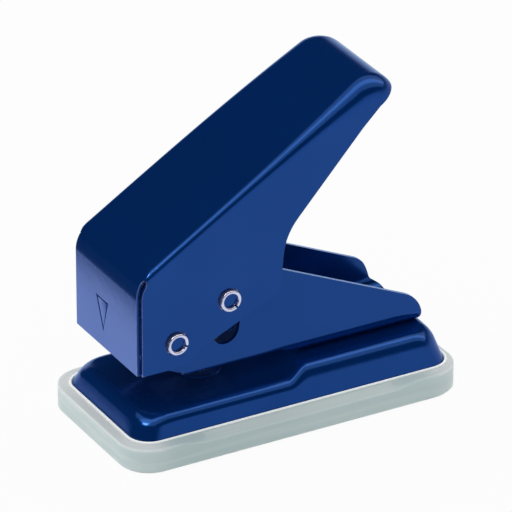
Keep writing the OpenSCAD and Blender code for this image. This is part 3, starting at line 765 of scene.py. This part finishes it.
def clear_paper(bm):
    """Cuts the front of the bend and floor away along two lines."""
    edge_z = WALL_Z - EDGE_DROP
    slant = Vector((edge_z - REAR_Z, 0, NOTCH_RUN)).normalized()
    corner = metres(BRACKET_FLOOR_X, 0, REAR_Z)
    for point, way in ((metres(0, 0, edge_z), UP), (corner, slant)):
        bmesh.ops.bisect_plane(bm, geom=everything(bm), plane_co=point, plane_no=way)
    doomed = []
    for f in bm.faces:
        middle = f.calc_center_median()
        if middle.z < edge_z * MM and (middle - corner).dot(slant) < 0:
            doomed.append(f)
    bmesh.ops.delete(bm, geom=doomed, context="FACES")


def trim_far_corner(bm):
    """Slides the left wall's rear corner up its falling edge, as it is cut back further than the other."""
    fall = math.tan(math.radians(TAIL_FALL))
    for v in bm.verts:
        x, y, z = v.co / MM
        rearward = smooth_step((x - FAR_TRIM_X) / (BRACKET_REAR - FAR_TRIM_X))
        shift = FAR_TRIM * smooth_step((z - REAR_Z) / BEND_R) * rearward
        if y > 0:
            v.co.x -= shift * MM
            v.co.z += shift * smooth_step((z - WALL_Z) / BEND_R) * fall * MM


def make_bracket():
    bore = cylinder(PIN_R + RUNNING_GAP, CUT_L, (FULCRUM_X, 0, FULCRUM_Z), ACROSS)
    knives = [bore, side_solid(slot_outline(), CUT_L / 2)]
    # Its rims and cut sheet edges take the pale edge enamel: worn paint with a painted highlight along them.
    mesh = shaped("bracket_body", bracket_mesh(), BLUE, BRACKET_SHEET, BRACKET_RIM, knives, edge=1)
    piece("bracket_body", mesh, "frame", "blue_paint", "bracket")


# Turned parts

PUNCH_R, SPACER_R, RIVET_HEAD = 3.0, 5.0, 1.0
DIE_R, DIE_PROUD, DIE_DEPTH, DIE_LAND, DIE_RELIEF = 6.8, 0.3, 3.2, 2.8, 0.5
BUSH_Z, BUSH_FLANGE_R, BUSH_FLANGE_T, BUSH_R, BUSH_L = 19.3, 6.5, 2.0, 4.5, 8.2
SADDLE_SHEET, SADDLE_HALF_L, SADDLE_H, SADDLE_BEND_R = 1.5, 10.0, 10.0, 2.4
TIP_Z, WASHER_Z, WASHER_R, WASHER_T, HEAD_R, HEAD_T = 21.73, 37.52, 7.0, 0.8, 5.5, 2.0
RIVET_X, RIVET_Y = (13.0, 33.0), 5.5
SADDLE_Z = BUSH_Z + BUSH_FLANGE_T
BORE_R = PUNCH_R + RUNNING_GAP
LATHE_STEPS, LATHE_EDGE_STEPS, RIVET_STEPS, PIN_EDGE_STEPS = 72, 4, 40, 5


def turned(corners, centre, axis=UP, steps=LATHE_STEPS):
    """A lathe piece; corners run round its half section as radius, height and edge radius."""
    bm = bmesh.new()
    verts = [bm.verts.new(metres(p.x, 0, p.y)) for p in soft_outline(corners, LATHE_EDGE_STEPS)]
    ring = verts if corners[0][0] == 0 else verts + verts[:1]
    edges = [bm.edges.new(pair) for pair in zip(ring, ring[1:])]
    bmesh.ops.spin(bm, geom=verts + edges, cent=(0, 0, 0), axis=UP, angle=math.tau, steps=steps,
                   use_merge=True, use_duplicate=False)
    clean(bm)
    bmesh.ops.transform(bm, matrix=standing(centre, axis), verts=bm.verts)
    return bm


def make_die():
    """The die, painted with the pan but for its bore."""
    top, land, foot = FRONT_Z + DIE_PROUD, FRONT_Z + DIE_PROUD - DIE_LAND, FRONT_Z - DIE_DEPTH
    section = [(BORE_R, top, 0.08), (DIE_R, top, 0.15), (DIE_R, FRONT_Z, 0), (DIE_SPIGOT_R, FRONT_Z, 0),
               (DIE_SPIGOT_R, foot, 0.3), (BORE_R + DIE_RELIEF, foot, 0.1), (BORE_R + DIE_RELIEF, land, 0),
               (BORE_R, land, 0)]
    mesh = shaped("die_ring", turned(section, (DRIVE_X, 0, 0)), BLUE[:1] + GROUND)
    bare_r = 1.03 * BORE_R
    for face in mesh.polygons:
        from_axis = math.hypot(face.center.x - DRIVE_X * MM, face.center.y)
        face.material_index = int(from_axis < bare_r * MM)
    piece("die_ring", mesh, "frame", "bright_steel", "die_button")


def make_bush():
    top = BUSH_Z + BUSH_L
    section = [(BORE_R, BUSH_Z, 0.3), (BUSH_FLANGE_R, BUSH_Z, 0.4), (BUSH_FLANGE_R, SADDLE_Z, 0.2),
               (BUSH_R, SADDLE_Z, 0), (BUSH_R, top, 0.4), (BORE_R, top, 0.4)]
    mesh = shaped("punch_guide", turned(section, (DRIVE_X, 0, 0)), GROUND)
    piece("punch_guide", mesh, "frame", "bright_steel", "guide_bush")


def make_punch():
    """The punch, with a flat head and a cutting end scooped out crosswise."""
    top, under = WASHER_Z + WASHER_T + HEAD_T, WASHER_Z + WASHER_T
    section = [(0, TIP_Z, 0), (PUNCH_R, TIP_Z, 0), (PUNCH_R, under, 0), (HEAD_R, under, 0.3),
               (HEAD_R, top, 0.5), (0, top, 0)]
    hollow = 1.4 * PUNCH_R
    scoop = cylinder(hollow, 4 * PUNCH_R, (DRIVE_X, 0, TIP_Z - 0.7 * hollow), ACROSS)
    mesh = shaped("punch_rod", turned(section, (DRIVE_X, 0, 0)), GROUND, knives=[scoop])
    piece("punch_rod", mesh, "punch", "bright_steel", "punch")


def make_washer():
    section = [(PUNCH_R + TIGHT_GAP, WASHER_Z, 0.1), (WASHER_R, WASHER_Z, 0.25),
               (WASHER_R, WASHER_Z + WASHER_T, 0.25), (PUNCH_R + TIGHT_GAP, WASHER_Z + WASHER_T, 0.1)]
    mesh = shaped("washer_ring", turned(section, (DRIVE_X, 0, 0)), BLUED)
    piece("washer_ring", mesh, "punch", "dark_steel", "spring_washer")


def make_spacers():
    bore = PIN_R + TIGHT_GAP
    inner = BRACKET_HALF_W + SPACER_GAP
    outer = LEVER_HALF_W - LEVER_SHEET - SPACER_GAP
    section = [(bore, inner, 0.2), (SPACER_R, inner, 0.4), (SPACER_R, outer, 0.4), (bore, outer, 0.2)]
    for pin, x, z in (("fulcrum", FULCRUM_X, FULCRUM_Z), ("drive", DRIVE_X, DRIVE_Z)):
        for side, way in (("left", ACROSS), ("right", -ACROSS)):
            name = f"{pin}_sleeve_{side}"
            mesh = shaped(name, turned(section, (x, 0, z), way), ZINC)
            piece(name, mesh, "lever", "bright_steel", f"{pin}_spacer_{side}")


def make_rivets():
    """Four rivets with a domed head at both ends, as one piece."""
    seat, under = REAR_Z + BRACKET_SHEET, REAR_Z - PAN_SHEET
    top, foot = seat + RIVET_HEAD, under - RIVET_HEAD
    head = 1.8 * RIVET_R
    flat, dome = 0.65 * head, 1.8
    section = [(0, foot, 0), (flat, foot, dome), (head, under, 0.05), (RIVET_R, under, 0),
               (RIVET_R, seat, 0), (head, seat, 0.05), (flat, top, dome), (0, top, 0)]
    group = bmesh.new()
    for x in RIVET_X:
        for y in (-RIVET_Y, RIVET_Y):
            one = bpy.data.meshes.new("rivet")
            rivet = turned(section, (x, y, 0), steps=RIVET_STEPS)
            rivet.to_mesh(one)
            rivet.free()
            group.from_mesh(one)
            bpy.data.meshes.remove(one)
    piece("floor_rivets", shaped("floor_rivets", group, BLUED), "frame", "dark_steel", "bracket_rivets")


def make_pin(name, x, z, slit_angle, node):
    """A spring pin: sheet rolled to a tube with an open slit and round ends, its bore closed just below its
    ends by a core in blue enamel.
    """
    half, inner = LEVER_HALF_W + PIN_PROUD, PIN_R - PIN_WALL
    end_r = 0.44 * PIN_WALL
    gap = 2 * math.asin(PIN_SLIT / 2 / (PIN_R - PIN_WALL / 2))
    bm = bmesh.new()
    corners = [(inner, -half), (PIN_R, -half), (PIN_R, half), (inner, half)]
    section = bm.faces.new([bm.verts.new(metres(r, y, 0)) for r, y in corners])
    bmesh.ops.bevel(bm, geom=list(section.verts), offset=end_r * MM, affect="VERTICES",
                    segments=PIN_EDGE_STEPS, profile=0.5, material=-1)
    start = Matrix.Rotation(math.radians(slit_angle) + gap / 2, 4, "Y")
    bmesh.ops.transform(bm, matrix=start, verts=bm.verts)
    bmesh.ops.spin(bm, geom=everything(bm), cent=(0, 0, 0), axis=ACROSS, angle=math.tau - gap,
                   steps=ROUND_STEPS, use_duplicate=False)
    clean(bm)
    tube = len(bm.faces)
    bmesh.ops.create_cone(bm, cap_ends=True, segments=ROUND_STEPS, radius1=inner * MM, radius2=inner * MM,
                          depth=2 * (half - PIN_RECESS) * MM, matrix=Matrix.Rotation(math.pi / 2, 4, "X"))
    bm.faces.ensure_lookup_table()
    for f in bm.faces[tube:]:
        f.material_index = 1
    bmesh.ops.translate(bm, verts=bm.verts, vec=metres(x, 0, z))
    piece(name, shaped(name, bm, ZINC + BLUE[:1]), "lever", "bright_steel", node)


# Saddle and spring

WIRE_R, COIL_R, SPRING_GAP, END_TURNS, OPEN_TURNS = 0.45, 5.7, 0.06, 0.75, 4.5
CLOSED_PITCH, PRESSED_SHARE = 2.1 * WIRE_R, 0.355
SADDLE_BEND_STEPS, WIRE_SIDES, TURN_STEPS = 8, 12, 36


def make_saddle():
    """A plate bent up along both sides, which holds the punch guide between the bracket's walls."""
    flat = BRACKET_HALF_W - BRACKET_SHEET - SADDLE_BEND_R
    bm = bmesh.new()
    bmesh.ops.create_grid(bm, x_segments=1, y_segments=1, size=1.0)
    for v in bm.verts:
        v.co = metres(DRIVE_X + v.co.x * SADDLE_HALF_L, v.co.y * flat, SADDLE_Z)
    for side in (-1, 1):
        hem = [e for e in bm.edges if all(v.co.y * side > (flat - NEAR) * MM for v in e.verts)]
        centre = metres(DRIVE_X, side * flat, SADDLE_Z + SADDLE_BEND_R)
        last = bmesh.ops.spin(bm, geom=hem + list(hem[0].verts), cent=centre, axis=ALONG * side,
                              angle=math.pi / 2, steps=SADDLE_BEND_STEPS, use_duplicate=False)["geom_last"]
        ends = [e for e in last if isinstance(e, bmesh.types.BMEdge)]
        tall = bmesh.ops.extrude_edge_only(bm, edges=ends)["geom"]
        for v in tall:
            if isinstance(v, bmesh.types.BMVert):
                v.co.z = (SADDLE_Z + SADDLE_H) * MM
    clean(bm)
    if bm.faces[:][0].normal.z > 0:
        bmesh.ops.reverse_faces(bm, faces=bm.faces)
    seat = cylinder(BUSH_R + TIGHT_GAP, SHEET_CUT, (DRIVE_X, 0, SADDLE_Z), UP)
    knives = [seat, side_solid(slot_outline(), CUT_L / 2)]
    mesh = shaped("saddle_plate", bm, BLUED, SADDLE_SHEET, SADDLE_RIM, knives)
    piece("saddle_plate", mesh, "frame", "dark_steel", "guide_saddle")


def make_spring():
    """A coil of round wire with most of a closed turn at each end."""
    low = SADDLE_Z + SADDLE_SHEET + SPRING_GAP
    high = WASHER_Z - SPRING_GAP
    end_rise = END_TURNS * CLOSED_PITCH
    open_rise = high - low - 2 * WIRE_R - 2 * end_rise
    bm = bmesh.new()
    place = Matrix.Translation(metres(COIL_R, 0, low + WIRE_R)) @ Matrix.Rotation(math.pi / 2, 4, "X")
    bmesh.ops.create_circle(bm, cap_ends=False, segments=WIRE_SIDES, radius=WIRE_R * MM, matrix=place)
    tip = bm.verts[:] + bm.edges[:]
    for turns, rise in ((END_TURNS, end_rise), (OPEN_TURNS, open_rise), (END_TURNS, end_rise)):
        steps = round(turns * TURN_STEPS)
        tip = bmesh.ops.spin(bm, geom=tip, cent=(0, 0, 0), axis=UP, dvec=UP * rise / steps * MM,
                             angle=math.tau * turns, steps=steps, use_duplicate=False)["geom_last"]
    close_ends(bm)
    clean(bm)
    bmesh.ops.translate(bm, verts=bm.verts, vec=metres(DRIVE_X, 0, 0))
    mesh = shaped("spring_coil", bm, BLUED)
    coil = piece("spring_coil", mesh, "frame", "dark_steel", "return_spring", sharp=60)
    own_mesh(coil)


make_lever()
make_pan()
make_tray()
make_bracket()
make_die()
make_bush()
make_punch()
make_washer()
make_spacers()
make_rivets()
make_pin("front_pin", FULCRUM_X, FULCRUM_Z, FULCRUM_SLIT, "fulcrum_pin")
make_pin("rear_pin", DRIVE_X, DRIVE_Z, DRIVE_SLIT, "drive_pin")
make_saddle()
make_spring()


# Studio, in metres, with the camera's aim and lens in millimetres

FLOOR_HALF, FLOOR_DROP = 6.0, 0.0002
DARK_START, DARK_END = -0.086, -0.096
WARM = (1.0, 0.87, 0.74)
CAMERA_BACK = Vector((-0.4316, -0.7749, 0.4619))
CAMERA_RIGHT = Vector((0.8736, -0.4866, 0.0))
CAMERA_UP = Vector((0.2248, 0.4035, 0.8869))
AIM_Z, AIM_LEFT, AIM_DOWN = 45, 0.138, 1.049
CAMERA_AIM = metres(0, 0, AIM_Z) - CAMERA_RIGHT * AIM_LEFT * MM - CAMERA_UP * AIM_DOWN * MM
CAMERA_FAR, CAMERA_LENS, CAMERA_SENSOR = 1.657, 421.9, 36.0


def studio_floor():
    """A white sweep: white to the eye, pale and matt to the light, and dark in reflections past DARK_END."""
    f = Finish(bpy.data.materials.new("studio_floor"))
    glossy = f.ray("Glossy")
    seen = glossy.larger(f.ray("Camera").larger(f.ray("Transmission")))
    dark = glossy * f.fade(f.along("X"), DARK_START, DARK_END)
    glow_colour = f.blend(dark, (1, 1, 1, 1), (0.02, 0.02, 0.02, 1))
    paper = f.ramp(f.noise(f.place(), 3.0), [(0, (0.86, 0.86, 0.86, 1)), (1, (0.9, 0.9, 0.9, 1))])
    matt = f.add("ShaderNodeBsdfDiffuse", None, {"Color": paper})
    glow = f.add("ShaderNodeEmission", None, {"Color": glow_colour, "Strength": 1.0})
    mixed = f.add("ShaderNodeMixShader", None, {0: seen * 0.94, 1: matt, 2: glow})
    f.add("ShaderNodeOutputMaterial", None, {"Surface": mixed})
    return f.owner


def make_floor():
    bm = bmesh.new()
    bmesh.ops.create_grid(bm, x_segments=8, y_segments=8, size=FLOOR_HALF)
    floor = scratch_object("floor", bm, [studio_floor()])
    floor.location.z = -FLOOR_DROP


def area_light(name, place, aim, size, power, spread=180):
    """A warm soft box that lights gloss only; spread is the angle of its light in degrees."""
    lamp = bpy.data.lights.new(name, "AREA")
    lamp.shape = "RECTANGLE"
    lamp.size, lamp.size_y = size
    lamp.energy = power
    lamp.color = WARM
    lamp.spread = math.radians(spread)
    thing = bpy.data.objects.new(name, lamp)
    thing.location = place
    thing.rotation_euler = (Vector(aim) - Vector(place)).to_track_quat("-Z", "Y").to_euler()
    thing.visible_camera = False
    thing.visible_diffuse = False
    bpy.context.scene.collection.objects.link(thing)


def make_world():
    """Pale light, brighter from the left side and the front end; in reflections dark but for a low band."""
    f = Finish(bpy.data.worlds.new("studio"))
    x, y, z = (f.along(axis, "Generated") for axis in "XYZ")
    band = f.fade(z, 0.37, 0.1) * f.fade(x, -0.2, 0.2).larger(f.fade(y, 0.0, -0.5))
    mirrored = f.blend(band, (0.006, 0.006, 0.008, 1), (0.85, 0.85, 0.85, 1))
    open_side = f.fade(y, -0.9, 0.1).larger(f.fade(x, -0.1, -0.9))
    even = f.blend(open_side, (0.45, 0.45, 0.45, 1), (0.9, 0.9, 0.9, 1))
    colour = f.blend(f.ray("Glossy"), even, mirrored)
    light = f.add("ShaderNodeBackground", None, {"Color": colour, "Strength": 1.0})
    f.add("ShaderNodeOutputWorld", None, {"Surface": light})
    bpy.context.scene.world = f.owner


def make_camera():
    data = bpy.data.cameras.new("camera")
    data.lens = CAMERA_LENS
    data.sensor_width = CAMERA_SENSOR
    data.clip_end = 50.0
    camera = bpy.data.objects.new("camera", data)
    turn = Matrix((CAMERA_RIGHT, CAMERA_UP, CAMERA_BACK)).transposed().to_4x4()
    camera.matrix_world = Matrix.Translation(CAMERA_AIM + CAMERA_BACK * CAMERA_FAR) @ turn
    bpy.context.scene.collection.objects.link(camera)
    bpy.context.scene.camera = camera


make_floor()
make_world()
make_camera()
area_light("front_card", (-0.072, 0.075, 0.001), (-0.072, 0.075, 1), (0.03, 0.13), 0.015, 155)
area_light("top_box", (0.65, -0.075, 0.9), (0.65, -0.075, 0), (2.4, 1.25), 10.0)
area_light("top_strip", (0.65, -0.06, 0.88), (0.65, -0.06, 0), (2.4, 0.32), 4.2)
area_light("corner_box", (-0.55, -0.18, 0.86), (-0.04, 0, 0.02), (0.15, 0.15), 1.8)
bpy.context.scene.view_settings.view_transform = "Standard"
